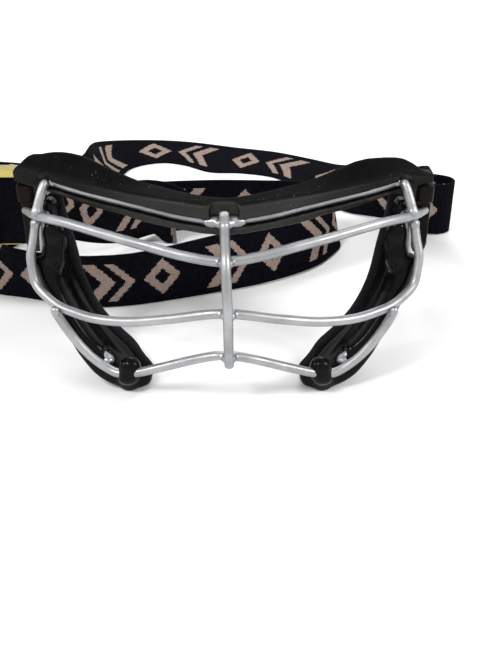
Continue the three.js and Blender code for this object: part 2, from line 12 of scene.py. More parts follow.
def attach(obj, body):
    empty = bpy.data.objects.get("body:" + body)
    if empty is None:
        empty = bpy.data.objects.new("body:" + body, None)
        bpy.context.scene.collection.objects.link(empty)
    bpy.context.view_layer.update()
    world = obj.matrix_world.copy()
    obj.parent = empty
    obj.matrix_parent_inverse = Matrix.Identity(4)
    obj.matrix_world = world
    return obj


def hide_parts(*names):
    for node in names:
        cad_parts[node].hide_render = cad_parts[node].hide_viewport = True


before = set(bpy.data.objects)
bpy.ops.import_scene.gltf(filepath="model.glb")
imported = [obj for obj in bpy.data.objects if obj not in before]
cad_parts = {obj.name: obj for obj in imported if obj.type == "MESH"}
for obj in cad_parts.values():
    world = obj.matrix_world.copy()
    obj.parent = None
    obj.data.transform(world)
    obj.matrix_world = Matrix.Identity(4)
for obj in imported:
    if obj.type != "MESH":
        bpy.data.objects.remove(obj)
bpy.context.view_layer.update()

bl_info = {
    "name": "Lacrosse Goggles",
    "version": (1, 0, 0),
    "blender": (4, 5, 0),
    "location": "View3D > Sidebar > Goggles",
    "description": "Builds the pieces and finishes of a pair of lacrosse goggles",
    "category": "Object",
}

MM = 0.001
BODY = "goggles"
BOTH_SIDES = (("right", 1), ("left", -1))

# The frame's origin, in millimetres from the bench that the goggles stand on, and the
# heights of the brow's crease and of the bench in the frame, in metres.
FOREHEAD = Vector((0.0, 13.0, 80.0))
CREASE_Z = (87.5 - FOREHEAD.z) * MM
FLOOR_Z = -FOREHEAD.z * MM

# Face size in metres and rounds of smoothing of each kind of dressed skin.
SKINS = {
    "wire": (0.00042, 5),
    "moulding": (0.00045, 4),
    "brow_foam": (0.0007, 12),
    "cheek_foam": (0.0006, 12),
    "pad": (0.0006, 26),
    "bracket": (0.0004, 3),
}

# Metres that a skin is moved outward after its rounding.
FOAM_GAIN = 0.00025
PAD_GAIN = 0.0007

# Routes in millimetres from the bench. They are the CAD's, but for the bar's head, the
# struts at the bottom wire's ends, the uprights and the side wires' upper ends, which
# are bent closer to the real ones. The bar passes the cross wires by its lap.
LAP = 4.3
BROW_HALF = [
    (0, 0, 79), (16, 3, 79.8), (30, 7.5, 81.5), (39, 12, 81.9), (51, 18.5, 82.2),
    (57, 22, 82.3), (71, 30.5, 83),
]
EYE_HALF = [
    (0, -14, 68.6), (15, -12.3, 70.2), (28.5, -8.5, 72.3), (42, -2, 73.1), (52, 3.5, 73.6),
    (63.5, 11, 73.5), (70, 16.2, 72.6), (76, 22, 71.2), (81, 28, 70.2), (84.2, 31.7, 69.8),
]
LOWER_HALF = [
    (0, -20, 49.5), (21.4, -16.8, 45.2), (38, -11.5, 40.9), (52.5, -5, 38.6), (62, 0, 38.8),
    (69, 4.5, 39.5), (74.5, 8.3, 42.1), (78.5, 12, 45.2), (80, 15, 50.5), (80.5, 17.5, 56),
    (79.5, 20, 60.8), (78.4, 23.4, 67.4),
]
BOTTOM_HALF = [
    (0, -12, 25.3), (4, -12, 25.1), (12, -10.8, 22.7), (22, -8.2, 18.3), (29.6, -6, 14.8),
    (35.6, -4, 12), (40.5, -2.6, 10.4), (45.4, -1.5, 9.8), (50, 0, 11.3), (56, 1.5, 15.6),
    (61.6, 2.9, 21.7), (66.2, 3.4, 29.2), (68.6, 2.4, 35.4), (69.2, 1.0, 38.8),
]
UPRIGHT = [
    (72.7, 29.4, 82.6), (73.5, 27.9, 83.3), (74.5, 26.2, 81.4), (75.8, 24.2, 77.6),
    (77, 22.6, 73.6),
]
SIDE = [
    (74.8, 26.6, 70.2), (75.6, 26.4, 66), (76.3, 26, 60), (76.5, 24.8, 53.5), (76.7, 22.6, 50),
    (75, 20, 46.5), (72, 17, 38), (66.5, 12.5, 28.5), (58, 7.5, 18.5), (49.5, 5.2, 12.5),
]
BAR = [
    (0.5, -LAP, 84.4), (0.6, -LAP, 79.6), (0.9, -11.4, 75), (1.2, -14 - LAP, 70.2),
    (1.6, -22.9, 61), (2, -20 - LAP, 50.8), (2, -22.3, 37), (2, -12.2 - LAP, 25.6),
    (2, -12 - LAP, 22.6),
]

# Weld beads on each wire: centre, and radii along the three axes.
BROW_WELDS = [
    ((0.6, -2.4, 79.0), (4.4, 2.6, 2.3)),
    ((-3.4, -0.7, 79.0), (4.6, 2.7, 2.45)),
    ((4.6, -0.6, 79.1), (4.6, 2.7, 2.45)),
]
EYE_WELDS = [((1.2, -16.2, 68.8), (3.2, 2.7, 2.3))]
LOWER_WELDS = [((2.0, -22.2, 49.6), (3.2, 2.7, 2.3))]
BOTTOM_WELDS = [((2.0, -14.2, 25.2), (3.2, 2.7, 2.3))]
SIDE_WELDS = [
    ((50.4, 4.4, 12.4), (3.0, 2.7, 2.4)),
    ((75.3, 25.4, 69.6), (2.6, 2.5, 2.2)),
]

# The bead at a wire's end: its centre's shift from the last station, and its radii.
BROW_END = ((0.0, -0.6, 0.0), (2.3, 2.3, 2.1))
LOWER_END = ((0.0, 0.0, 0.2), (2.4, 2.4, 2.2))
BOTTOM_END = ((0.0, 1.9, -0.9), (2.3, 2.6, 2.2))
UPRIGHT_END = ((0.0, 0.0, -0.4), (2.6, 2.6, 2.1))

# Lumps on the right side: form, centre and half sizes. The brow's fills the notch over
# the side upright, and the pad's are the rubber that it has beyond its solid.
BROW_NOTCH = ("ball", (73.2, 31.0, 85.8), (3.6, 2.8, 2.1))
PAD_LUMPS = [
    ("ball", (71.6, 24.2, 60.0), (4.6, 3.8, 9.0)),
    ("ball", (72.4, 22.4, 52.5), (4.6, 4.2, 7.0)),
    ("block", (77.0, 22.0, 51.5), (3.0, 3.0, 1.8)),
    ("ball", (40.2, -1.3, 12.3), (4.6, 3.9, 5.0)),
]

# Rubber beads round the side wire's lower stretch. They stop some steps before its end.
CHANNEL = SIDE[5:]
CHANNEL_STOP = 4
CHANNEL_SHIFT = 0.4
CHANNEL_BEAD = (3.7, 3.5, 3.7)

# The strap's lower edge, and its lean in degrees where it doesn't stand upright. Its
# route is the CAD's, with an easier bend at the far left.
STRAP = [
    (88.4, 75, 38.6), (87.4, 60, 46.1), (83.6, 54, 47.5), (82.7, 50, 47.5), (83.5, 47.5, 47.5),
    (86, 46.7, 47.5), (88.5, 47.5, 47.5), (89.3, 50, 47.5), (90, 60, 46), (91.4, 78, 37),
    (92.4, 98, 24), (94, 120, 11), (96, 139, 3), (99, 153, 0), (106, 160, 0), (114, 159.5, 0),
    (122, 159, 0), (127.5, 163, 0), (127, 170, 0), (120, 174.5, 0), (107, 177.5, 0),
    (90, 182.5, 0), (71, 190, 0, -25), (55, 210, 0, -60), (41, 232, 0, -76), (27, 249, 0, -78),
    (5, 257, 0, -78), (-16, 259, 0, -78), (-34, 272, 0, -78), (-48, 277, 0, -78),
    (-60, 274, 0, -75), (-70, 266, 0, -66), (-75, 252, 0, -50), (-78, 236, 0, -28),
    (-84, 214, 0, -10), (-102, 179, 0), (-115, 156, 0), (-127, 134, 0), (-135, 112, 0),
    (-131, 94, 0, -4), (-119, 86, 0, -8), (-104, 82, 0, -11), (-85, 76, 0, -13),
    (-66, 72, 0, -13), (-50, 73.5, 0, -10), (-30, 79, 0, -3), (-4, 88, 0, 8), (19, 97.5, 0, 18),
    (44, 114, 0, 22), (55, 128, 0, 16), (62, 144, 0, 8), (57, 157, 0, 3), (44, 163, 0),
    (20, 165, 0), (-20, 165, 0), (-43, 159, 1), (-60, 138, 5), (-72, 122, 12), (-84, 108, 21),
    (-98, 93, 33), (-113, 79, 41.5), (-127, 70, 46.5), (-140, 65, 47.5), (-144, 57, 47.5),
    (-140, 49.5, 47.5), (-132, 47, 47.5), (-118, 47, 47.5), (-104, 47, 47.5), (-90, 47, 47.5),
    (-86, 46.7, 47.5), (-83.5, 47.5, 47.5), (-82.7, 50, 47.5), (-83.5, 52.5, 47.5),
    (-86, 53.3, 47.5), (-88.4, 52.6, 47.5), (-89.8, 50.7, 47.5), (-92.4, 49.3, 47.5),
    (-98, 49.1, 47.5), (-112, 49.1, 47.5), (-126, 49.1, 47.5),
]

# The free tail lies along the strap's front and drops to the bench at its cut end.
TAIL = [
    (-132, 49.3, 47.5), (-137.5, 51.7, 47.5), (-141, 57, 47.5), (-138.2, 62.6, 48),
    (-126.4, 67.4, 47.5), (-111.6, 76.8, 42.8), (-96.2, 90.9, 35), (-82.2, 105.9, 23.5),
    (-70.2, 119.9, 15), (-58.4, 135.8, 9.5), (-50, 143.5, 8), (-43.5, 146.5, 6),
    (-39, 146.8, 2), (-34.5, 146.5, 0), (-31, 146, 0),
]

# Millimetres between the strap's stations, its rows of faces, and how many stations
# its turns and its upper edge are evened over where it leans by the full lean or more.
STRAP_STEP = 1.4
STRAP_ROWS = 10
EVEN_TURNS = 18
EVEN_EDGE = 18
FULL_LEAN = 12.0

# The photographed view: place in millimetres from the bench, tilt in degrees from
# straight down, and focal length in millimetres.
CAMERA_SPOT = (9.17, -309.67, 216.49)
CAMERA_TILT = 59.0
CAMERA_LENS = 47.8

# Name, place, aim, size and power of each lamp in the frame, in metres and watts.
LAMPS = (
    ("key_light", (-0.5, -0.55, 0.9), (0.0, 0.0, -0.04), 0.26, 7.0),
    ("fill_light", (0.7, -0.3, 0.6), (0.0, 0.05, -0.04), 0.3, 3.0),
    ("right_glint", (0.85, -0.15, 0.42), (-0.07, 0.0, -0.02), 0.11, 2.2),
    ("left_glint", (-0.85, -0.15, 0.42), (0.07, 0.0, -0.02), 0.11, 2.2),
    ("back_light", (0.1, 0.9, 0.8), (0.0, 0.1, -0.04), 0.6, 4.0),
)

# The white room's strength where the camera and shiny finishes don't see it.
ROOM_LIGHT = 0.62


class GogglesSizes(bpy.types.PropertyGroup):
    wire_radius: FloatProperty(
        name="Wire radius", description="Radius of the cage wire",
        default=0.00203, unit="LENGTH")
    weld_reach: FloatProperty(
        name="Weld reach", description="How far a weld's finish reaches from its centre",
        default=0.0063, unit="LENGTH")
    strap_width: FloatProperty(
        name="Strap width", description="Width of the webbing", default=0.031, unit="LENGTH")
    strap_thickness: FloatProperty(
        name="Strap thickness", description="Thickness of the webbing",
        default=0.0014, unit="LENGTH")
    motif_pitch: FloatProperty(
        name="Motif pitch", description="Distance between the woven motifs",
        default=0.062, unit="LENGTH")


class GogglesColours(bpy.types.PropertyGroup):
    wire: FloatVectorProperty(
        name="Wire", description="Satin steel of the cage", subtype="COLOR", size=3,
        default=(0.345, 0.35, 0.36))
    moulding: FloatVectorProperty(
        name="Moulding", description="Black plastic of the brow", subtype="COLOR", size=3,
        default=(0.0009, 0.0009, 0.0010))
    pad: FloatVectorProperty(
        name="Pad", description="Black rubber of the side pads", subtype="COLOR", size=3,
        default=(0.0011, 0.0011, 0.0014))
    bracket: FloatVectorProperty(
        name="Bracket", description="Dark plastic of the temple brackets", subtype="COLOR",
        size=3, default=(0.0045, 0.0033, 0.0027))
    foam: FloatVectorProperty(
        name="Foam", description="Cloth-faced foam of the cushions", subtype="COLOR", size=3,
        default=(0.0045, 0.0045, 0.0052))
    webbing: FloatVectorProperty(
        name="Webbing", description="Ground colour of the strap", subtype="COLOR", size=3,
        default=(0.0020, 0.0020, 0.0034))
    motif: FloatVectorProperty(
        name="Motif", description="Woven motifs of the strap", subtype="COLOR", size=3,
        default=(0.36, 0.275, 0.235))
    slider: FloatVectorProperty(
        name="Slider", description="Gold-coloured metal of the slider", subtype="COLOR",
        size=3, default=(0.46, 0.39, 0.12))


def sizes():
    return bpy.context.scene.goggles_sizes


def colours():
    return bpy.context.scene.goggles_colours


# Materials

class Finish:
    """A material with its Principled shader and short ways to add nodes to it."""

    def __init__(self, name, colour, roughness, metallic=0.0, gloss=0.5):
        self.material = bpy.data.materials.new(name)
        self.material.use_nodes = True
        self.tree = self.material.node_tree
        self.shader = self.tree.nodes["Principled BSDF"]
        self.shader.inputs["Base Color"].default_value = (*colour, 1.0)
        self.shader.inputs["Roughness"].default_value = roughness
        self.shader.inputs["Metallic"].default_value = metallic
        self.shader.inputs["Specular IOR Level"].default_value = gloss
        self.coordinates = self.tree.nodes.new("ShaderNodeTexCoord")

    def link(self, source, target):
        self.tree.links.new(source, target)

    def noise(self, scale, detail, roughness, stretch=None):
        node = self.tree.nodes.new("ShaderNodeTexNoise")
        node.inputs["Scale"].default_value = scale
        node.inputs["Detail"].default_value = detail
        node.inputs["Roughness"].default_value = roughness
        source = self.coordinates.outputs["Object"]
        if stretch:
            mapping = self.tree.nodes.new("ShaderNodeMapping")
            mapping.inputs["Scale"].default_value = stretch
            self.link(source, mapping.inputs["Vector"])
            source = mapping.outputs["Vector"]
        self.link(source, node.inputs["Vector"])
        return node.outputs["Fac"]

    def specks(self, scale):
        node = self.tree.nodes.new("ShaderNodeTexVoronoi")
        node.inputs["Scale"].default_value = scale
        self.link(self.coordinates.outputs["Object"], node.inputs["Vector"])
        return node.outputs["Distance"]

    def ramp(self, source, low, high, from_value=0.0, to_value=1.0):
        node = self.tree.nodes.new("ShaderNodeMapRange")
        node.interpolation_type = "SMOOTHSTEP"
        node.inputs["From Min"].default_value = low
        node.inputs["From Max"].default_value = high
        node.inputs["To Min"].default_value = from_value
        node.inputs["To Max"].default_value = to_value
        self.link(source, node.inputs["Value"])
        return node.outputs["Result"]

    def math(self, operation, first, second=None):
        node = self.tree.nodes.new("ShaderNodeMath")
        node.operation = operation
        for socket, value in zip(node.inputs, (first, second)):
            if value is None:
                continue
            if isinstance(value, (int, float)):
                socket.default_value = value
            else:
                self.link(value, socket)
        return node.outputs["Value"]

    def mix(self, factor, first, second):
        node = self.tree.nodes.new("ShaderNodeMix")
        node.data_type = "RGBA"
        # Its number and colour sockets share their names, so these are picked by place.
        self.link(factor, node.inputs["Factor"])
        for socket, value in ((node.inputs[6], first), (node.inputs[7], second)):
            if isinstance(value, tuple):
                socket.default_value = (*value, 1.0)
            else:
                self.link(value, socket)
        return node.outputs[2]

    def colour(self, source):
        self.link(source, self.shader.inputs["Base Color"])

    def rough(self, source):
        self.link(source, self.shader.inputs["Roughness"])

    def bump(self, source, strength, distance):
        node = self.tree.nodes.new("ShaderNodeBump")
        node.inputs["Strength"].default_value = strength
        node.inputs["Distance"].default_value = distance
        self.link(source, node.inputs["Height"])
        self.link(node.outputs["Normal"], self.shader.inputs["Normal"])

    def attribute(self, name):
        node = self.tree.nodes.new("ShaderNodeAttribute")
        node.attribute_name = name
        return node.outputs["Fac"]

    def uv(self):
        separate = self.tree.nodes.new("ShaderNodeSeparateXYZ")
        self.link(self.coordinates.outputs["UV"], separate.inputs["Vector"])
        return separate.outputs["X"], separate.outputs["Y"]


def steel_finish():
    tint = tuple(colours().wire)
    finish = Finish("satin_steel", tint, 0.45, 0.92)
    cloud = finish.ramp(finish.noise(55, 5, 0.65), 0.35, 0.7)
    shade = finish.mix(cloud, tuple(c * 0.82 for c in tint), tuple(min(1, c * 1.12) for c in tint))
    pits = finish.ramp(finish.noise(900, 2, 0.7), 0.66, 0.74)
    spots = finish.ramp(finish.noise(70, 2, 0.5), 0.6, 0.68)
    chipped = finish.math("MULTIPLY", pits, spots)
    finish.colour(finish.mix(chipped, shade, (0.10, 0.09, 0.085)))
    weld = finish.attribute("weld")
    plain = finish.ramp(finish.noise(160, 4, 0.6), 0.3, 0.75, 0.36, 0.52)
    finish.rough(finish.math("SUBTRACT", plain, finish.math("MULTIPLY", weld, 0.12)))
    grain = finish.noise(1500, 3, 0.6)
    ripple = finish.math("MULTIPLY", finish.noise(420, 3, 0.5), weld)
    relief = finish.math("ADD", finish.math("MULTIPLY", grain, 0.25), ripple)
    finish.bump(relief, 0.35, 0.0004)
    return finish.material


def moulding_finish():
    """Black plastic with random haze: the forward-facing band has painted light and lower
    roughness, and the edges have a painted rim highlight.
    """
    tint = tuple(colours().moulding)
    finish = Finish("gloss_moulding", tint, 0.25, 0.0, 0.04)
    dust = finish.ramp(finish.specks(560), 0.26, 0.10)
    patch = finish.ramp(finish.noise(90, 5, 0.75), 0.5, 0.72)
    dusty = finish.math("MULTIPLY", finish.math("MULTIPLY", dust, patch), 0.6)
    haze = finish.mix(finish.ramp(finish.noise(22, 3, 0.5), 0.3, 0.75), tint,
                      tuple(c * 2.1 for c in tint))
    # Painted light: the forward-facing band below the crease is painted a lighter grey, mottled by
    # noise, and is made less rough.
    band_light_mottle = finish.ramp(finish.noise(45, 4, 0.6, (0.35, 0.35, 1.6)), 0.25, 0.8, 0.55, 1.0)
    painted_light_band = finish.math("MULTIPLY", finish.attribute("painted_light_band"), band_light_mottle)
    front = finish.mix(painted_light_band, haze, (0.038, 0.0375, 0.036))
    # Painted highlight: convex edges get a warm, light rim line, broken up by noise.
    rim_breakup = finish.ramp(finish.noise(110, 4, 0.7), 0.34, 0.6)
    rim_highlight = finish.math("MULTIPLY", finish.attribute("edge"), rim_breakup)
    rim_lit = finish.mix(rim_highlight, front, (0.036, 0.034, 0.028))
    finish.colour(finish.mix(dusty, rim_lit, (0.16, 0.145, 0.125)))
    smear = finish.ramp(finish.noise(60, 5, 0.65), 0.3, 0.7, 0.0, 0.16)
    satin = finish.ramp(painted_light_band, 0.0, 0.5, 0.58, 0.2)
    finish.rough(finish.math("ADD", smear, satin))
    finish.bump(finish.noise(700, 3, 0.55), 0.12, 0.0003)
    return finish.material


def rubber_finish():
    tint = tuple(colours().pad)
    finish = Finish("gloss_rubber", tint, 0.28, 0.0, 0.11)
    flow = finish.noise(30, 4, 0.6, (1.0, 1.0, 0.35))
    finish.colour(finish.mix(finish.ramp(flow, 0.3, 0.75), tint, tuple(c * 2.0 for c in tint)))
    finish.rough(finish.ramp(finish.noise(85, 5, 0.65), 0.3, 0.72, 0.14, 0.24))
    finish.bump(finish.noise(260, 4, 0.6), 0.12, 0.0003)
    return finish.material


def bracket_finish():
    tint = tuple(colours().bracket)
    finish = Finish("satin_bracket", tint, 0.42, 0.0, 0.06)
    finish.colour(finish.mix(finish.ramp(finish.noise(60, 4, 0.6), 0.35, 0.7), tint,
                             tuple(c * 2.4 for c in tint)))
    finish.rough(finish.ramp(finish.noise(120, 5, 0.6), 0.3, 0.7, 0.30, 0.52))
    finish.bump(finish.noise(900, 3, 0.6), 0.2, 0.0003)
    return finish.material


def foam_finish():
    tint = tuple(colours().foam)
    finish = Finish("cloth_foam", tint, 0.9, 0.0, 0.05)
    finish.shader.inputs["Sheen Weight"].default_value = 0.04
    finish.shader.inputs["Sheen Roughness"].default_value = 0.5
    cells = finish.specks(900)
    finish.colour(finish.mix(finish.ramp(cells, 0.1, 0.6), tint, tuple(c * 2.6 for c in tint)))
    finish.bump(finish.math("ADD", cells, finish.noise(240, 3, 0.6)), 0.5, 0.0004)
    return finish.material


def slider_finish():
    tint = tuple(colours().slider)
    finish = Finish("gold_metal", tint, 0.22, 1.0)
    finish.rough(finish.ramp(finish.noise(140, 5, 0.6), 0.3, 0.7, 0.14, 0.34))
    finish.colour(finish.mix(finish.ramp(finish.noise(45, 4, 0.6), 0.35, 0.75), tint,
                             (0.27, 0.24, 0.075)))
    finish.bump(finish.noise(600, 3, 0.5), 0.03, 0.0002)
    return finish.material


def webbing_finish(length):
    """Ribbed elastic with woven chevrons and diamonds, on the strap's own UV map."""
    tint = tuple(colours().webbing)
    finish = Finish("woven_elastic", tint, 0.85, 0.0, 0.03)
    width = sizes().strap_width / MM
    pitch = sizes().motif_pitch / MM
    u, v = finish.uv()
    run = finish.math("MULTIPLY", u, length / MM)
    rise = finish.math("MULTIPLY", finish.math("SUBTRACT", v, 0.5), width)
    # Each weft pick and warp cord is one step wide, so a slanted edge is a stair. The
    # rows are stepped on a height that is above zero over the whole width.
    pick_width = 0.9
    cord_width = 0.75
    above_zero = 100.0
    middle_row = 99.6
    motif_band = 0.36
    pick = finish.math("SNAP", run, pick_width)
    row = finish.math("SNAP", finish.math("ADD", rise, above_zero), cord_width)
    row = finish.math("SUBTRACT", row, middle_row)
    high = finish.math("ABSOLUTE", row)
    cell = finish.math("MODULO", pick, pitch)
    inside = finish.math("LESS_THAN", high, width * motif_band)

    def chevron(middle, half, slope=0.85):
        slant = finish.math("ADD", cell, finish.math("MULTIPLY", high, slope))
        gap = finish.math("ABSOLUTE", finish.math("SUBTRACT", slant, middle))
        return finish.math("LESS_THAN", gap, half)

    def diamond(middle, reach, hole, slope=0.9):
        away = finish.math("ABSOLUTE", finish.math("SUBTRACT", cell, middle))
        spread = finish.math("ADD", away, finish.math("MULTIPLY", high, slope))
        solid = finish.math("LESS_THAN", spread, reach)
        return finish.math("MULTIPLY", solid, finish.math("GREATER_THAN", spread, hole))

    shapes = finish.math("MAXIMUM", chevron(18.0, 3.4), chevron(28.5, 2.2))
    shapes = finish.math("MAXIMUM", shapes, diamond(44.0, 9.4, 4.2))
    motif = finish.math("MULTIPLY", shapes, inside)
    ribs = finish.math("SINE", finish.math("MULTIPLY", run, math.tau / pick_width))
    cords = finish.math("SINE", finish.math("MULTIPLY", rise, math.tau / cord_width))
    cloth = finish.mix(finish.ramp(finish.noise(420, 4, 0.7), 0.3, 0.75), tint,
                       tuple(c * 2.4 for c in tint))
    # A box of stitches sews the first end of the strap down, and the last end is sealed.
    # The seam's place and half width are shares of the box's half sizes.
    box_centre = 12.0
    box_half = (9.0, 11.5)
    seam_place = 0.94
    seam_half = 0.05
    stitch_pitch = 2.6
    stitch_length = 1.8
    seal_length = 2.2
    from_centre = finish.math("ABSOLUTE", finish.math("SUBTRACT", run, box_centre))
    along = finish.math("DIVIDE", from_centre, box_half[0])
    across = finish.math("DIVIDE", finish.math("ABSOLUTE", rise), box_half[1])
    box = finish.math("MAXIMUM", across, along)
    from_seam = finish.math("ABSOLUTE", finish.math("SUBTRACT", box, seam_place))
    seam = finish.math("LESS_THAN", from_seam, seam_half)
    slant = finish.math("ADD", run, finish.math("ADD", rise, above_zero))
    beat = finish.math("MODULO", slant, stitch_pitch)
    stitch = finish.math("MULTIPLY", seam, finish.math("LESS_THAN", beat, stitch_length))
    sealed = finish.math("GREATER_THAN", run, length / MM - seal_length)
    thread = tuple(colours().motif)
    worn = finish.mix(finish.ramp(finish.noise(700, 3, 0.7), 0.35, 0.7),
                      tuple(c * 0.72 for c in thread), thread)
    woven = finish.mix(stitch, finish.mix(motif, cloth, worn), (0.030, 0.029, 0.033))
    finish.colour(finish.mix(sealed, woven, (0.15, 0.125, 0.11)))
    weave = finish.math("ADD", finish.math("MULTIPLY", ribs, 0.35),
                        finish.math("MULTIPLY", cords, 0.5))
    raised = finish.math("ADD", weave, finish.math("MULTIPLY", motif, 0.8))
    raised = finish.math("ADD", raised, finish.math("MULTIPLY", stitch, 1.6))
    finish.bump(raised, 0.5, 0.0003)
    return finish.material


# Making pieces

def place(point):
    """A place in the frame, in metres, from one in millimetres from the bench."""
    return (Vector(point) - FOREHEAD) * MM


def smooth_step(low, high, value):
    t = min(1.0, max(0.0, (value - low) / (high - low)))
    return t * t * (3.0 - 2.0 * t)


def sized_at(centre, halves):
    """The matrix that gives a unit shape its place and its half sizes in millimetres."""
    return (Matrix.Translation(place(centre))
            @ Matrix.Diagonal((*(half * MM for half in halves), 1.0)))


def sided(point, sign):
    """A point of the right side, or its mirror image for a sign of -1."""
    return (sign * point[0], point[1], point[2])


def mirrored(half):
    """The whole route of a wire, from its right half."""
    return [sided(point, -1) for point in reversed(half[1:])] + half


def end_welds(route, shift, radii):
    """The weld beads at the end of the right side's route and of its mirror image."""
    end = [a + b for a, b in zip(route[-1], shift)]
    return [(sided(end, sign), radii) for _, sign in BOTH_SIDES]


def smooth_route(points, steps):
    """Points and lean on the centripetal curve through stations in millimetres."""
    spots = [Vector(p[:3]) for p in points]
    leans = [p[3] if len(p) > 3 else 0.0 for p in points]
    path = []
    for i in range(len(spots) - 1):
        b, c = spots[i], spots[i + 1]
        a = spots[i - 1] if i else 2 * b - c
        d = spots[i + 2] if i + 2 < len(spots) else 2 * c - b
        first = math.sqrt((b - a).length)
        middle = math.sqrt((c - b).length)
        last = math.sqrt((d - c).length)
        start = ((b - a) / first - (c - a) / (first + middle) + (c - b) / middle) * middle
        end = ((c - b) / middle - (d - b) / (middle + last) + (d - c) / last) * middle
        for k in range(steps):
            t = k / steps
            point = (b + start * t + (3 * (c - b) - 2 * start - end) * t ** 2
                     + (2 * (b - c) + start + end) * t ** 3)
            path.append((point, leans[i] + (leans[i + 1] - leans[i]) * t))
    path.append((spots[-1], leans[-1]))
    return path


def even_route(path, spacing):
    """The same route at equal steps along it, with its length in millimetres."""
    travelled = [0.0]
    for (a, _), (b, _) in zip(path, path[1:]):
        travelled.append(travelled[-1] + (b - a).length)
    count = max(2, round(travelled[-1] / spacing))
    result = []
    at = 0
    for i in range(count + 1):
        goal = travelled[-1] * i / count
        while at < len(path) - 2 and travelled[at + 1] < goal:
            at += 1
        span = max(1e-9, travelled[at + 1] - travelled[at])
        t = min(1.0, max(0.0, (goal - travelled[at]) / span))
        point = path[at][0].lerp(path[at + 1][0], t)
        result.append((point, path[at][1] + (path[at + 1][1] - path[at][1]) * t))
    return result, travelled[-1]


def new_piece(name, mesh, material, body=BODY):
    piece = bpy.data.objects.new(name, mesh)
    bpy.context.scene.collection.objects.link(piece)
    mesh.materials.clear()
    mesh.materials.append(material)
    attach(piece, body)
    return piece


def fuse(piece, skin):
    """Fuses the piece's shells into one skin of even faces, and rounds it."""
    face_size, rounds = SKINS[skin]
    remesh = piece.modifiers.new("Fuse", "REMESH")
    remesh.mode = "VOXEL"
    remesh.voxel_size = face_size
    bpy.context.view_layer.objects.active = piece
    bpy.ops.object.modifier_apply(modifier=remesh.name)
    soften(piece, rounds)


def soften(piece, rounds):
    """Rounds the skin by moving each vertex towards its neighbours' middle."""
    bm = bmesh.new()
    bm.from_mesh(piece.data)
    for _ in range(rounds):
        bmesh.ops.smooth_vert(
            bm, verts=bm.verts, factor=0.5, use_axis_x=True, use_axis_y=True, use_axis_z=True)
    for face in bm.faces:
        face.smooth = True
    bm.to_mesh(piece.data)
    bm.free()


def tube_mesh(route, radius, shares):
    """A round bar along a route of points in metres, with closed ends."""
    curve = bpy.data.curves.new("route", "CURVE")
    curve.dimensions = "3D"
    curve.bevel_depth = radius
    curve.bevel_resolution = 4
    curve.use_fill_caps = True
    spline = curve.splines.new("POLY")
    spline.points.add(len(route) - 1)
    for spot, point, share in zip(spline.points, route, shares):
        spot.co = (*point, 1.0)
        spot.radius = share
    holder = bpy.data.objects.new("route", curve)
    bpy.context.scene.collection.objects.link(holder)
    mesh = bpy.data.meshes.new_from_object(holder)
    bpy.data.objects.remove(holder)
    bpy.data.curves.remove(curve)
    return mesh


def mark_welds(piece, welds):
    """Stores how near each point is to a weld, for the steel's finish."""
    values = piece.data.attributes.new("weld", "FLOAT", "POINT").data
    reach = sizes().weld_reach
    for vertex, value in zip(piece.data.vertices, values):
        near = min(((vertex.co - spot).length for spot in welds), default=reach)
        value.value = max(0.0, 1.0 - near / reach)


def end_shares(route, first, last):
    """The radius share along a wire whose ends come to the given shares."""
    reach = 0.007
    shares = []
    for spot in route:
        start = smooth_step(0.0, reach, (spot - route[0]).length)
        end = smooth_step(0.0, reach, (spot - route[-1]).length)
        shares.append(min(first + (1.0 - first) * start, last + (1.0 - last) * end))
    return shares


def wire_piece(name, points, welds, material, ends=(1.0, 1.0), round_ends=False):
    """A bent wire with its weld fillets, fused into one skin."""
    radius = sizes().wire_radius
    route = [place(point) for point, _ in smooth_route(points, steps=8)]
    shares = end_shares(route, *ends)
    bm = bmesh.new()
    bm.from_mesh(tube_mesh(route, radius, shares))
    beads = []
    for centre, radii in welds:
        beads.append(place(centre))
        bmesh.ops.create_uvsphere(
            bm, u_segments=16, v_segments=10, radius=1.0, matrix=sized_at(centre, radii))
    if round_ends:
        for spot, share in ((route[0], shares[0]), (route[-1], shares[-1])):
            bmesh.ops.create_uvsphere(
                bm, u_segments=16, v_segments=12, radius=radius * share * 0.99,
                matrix=Matrix.Translation(spot))
    mesh = bpy.data.meshes.new(name)
    bm.to_mesh(mesh)
    bm.free()
    piece = new_piece(f"{name}_dressed", mesh, material)
    fuse(piece, "wire")
    mark_welds(piece, beads)
    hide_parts(name)


def solid_copy(node):
    """The CAD solid as a bmesh whose loose triangles are merged."""
    bm = bmesh.new()
    bm.from_mesh(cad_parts[node].data)
    bmesh.ops.remove_doubles(bm, verts=bm.verts, dist=1e-6)
    return bm


def rounded_copy(node, skin, material, lumps=()):
    """A moulded piece: the CAD solid and its small lumps, rounded as a mould rounds them."""
    bm = solid_copy(node)
    for form, centre, halves in lumps:
        matrix = sized_at(centre, halves)
        if form == "ball":
            bmesh.ops.create_uvsphere(
                bm, u_segments=24, v_segments=16, radius=1.0, matrix=matrix)
        else:
            bmesh.ops.create_cube(bm, size=2.0, matrix=matrix)
    mesh = bpy.data.meshes.new(node)
    bm.to_mesh(mesh)
    bm.free()
    piece = new_piece(f"{node}_dressed", mesh, material)
    fuse(piece, skin)
    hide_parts(node)
    return piece


def sided_lump(lump, sign):
    form, centre, halves = lump
    return form, sided(centre, sign), halves


def foam_cushion(node, skin, material):
    """A padded cushion that fills its CAD solid."""
    cushion = rounded_copy(node, skin, material)
    swell(cushion, FOAM_GAIN)


def swell(piece, height):
    """Moves the skin outward, to give back what the rounding took."""
    bm = bmesh.new()
    bm.from_mesh(piece.data)
    bm.normal_update()
    for vertex in bm.verts:
        vertex.co += vertex.normal * height
    bm.to_mesh(piece.data)
    bm.free()


